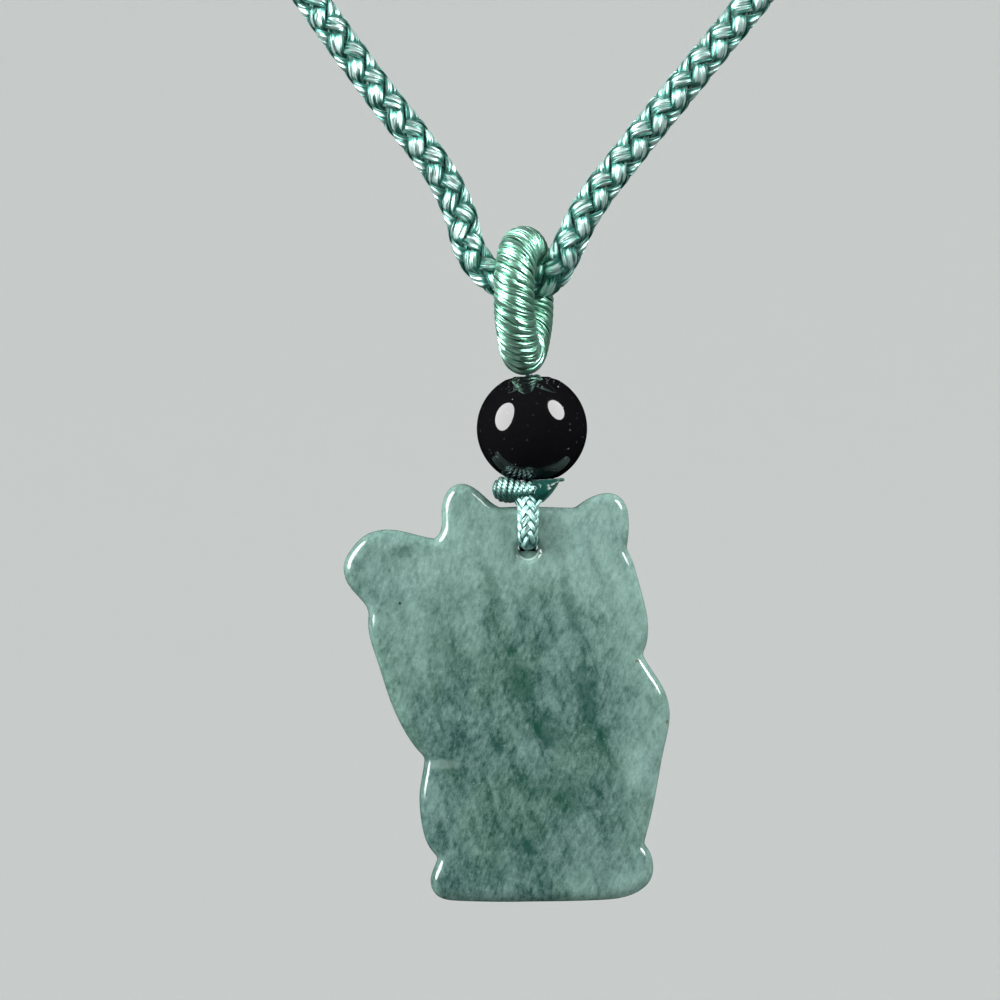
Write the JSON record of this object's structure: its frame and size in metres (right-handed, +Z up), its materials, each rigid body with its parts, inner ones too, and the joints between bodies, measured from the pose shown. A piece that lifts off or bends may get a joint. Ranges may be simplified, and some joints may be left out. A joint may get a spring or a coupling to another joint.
{
  "type": "lucky cat pendant on a braided cord necklace",
  "caption": "Flat carved green stone pendant in the outline of a beckoning cat, hung by a thin cord under a round black bead and a cord-wound loop on a braided necklace cord.",
  "frame": {"origin": "where the necklace lies on the nape, at the inner side of the closing sleeve", "axes": "+Z up as worn, -Y forwards, where the plain back of the jade faces, +X to the right seen from the front"},
  "size_m": [0.1412, 0.1246, 0.2468],
  "materials": {
    "braided_silk": "glossy silk, round braid of eight strands",
    "wound_thread": "silk thread wound close",
    "wound_silk": "glossy silk thread wound on a slant",
    "black_stone": "black stone, high polish",
    "fine_braid": "glossy silk, thin braid",
    "green_jade": "cloudy grey-green stone, polished"
  },
  "bodies": {
    "root": {"necklace_cord": "braided_silk", "closing_sleeve": "wound_thread"},
    "drop": {"wrapped_loop": "wound_silk", "black_bead": "black_stone", "bead_thread": "fine_braid", "knot": "fine_braid", "hanging_cord": "fine_braid", "jade_cat": "green_jade"}
  },
  "joints": [
    {"name": "drop_swing", "type": "hinge", "parent": "root", "child": "drop", "pos_m": [-0.0003, -0.116, -0.199], "axis": [0.9701, -0.2425, 0], "range_deg": [-90, 90]}
  ]
}
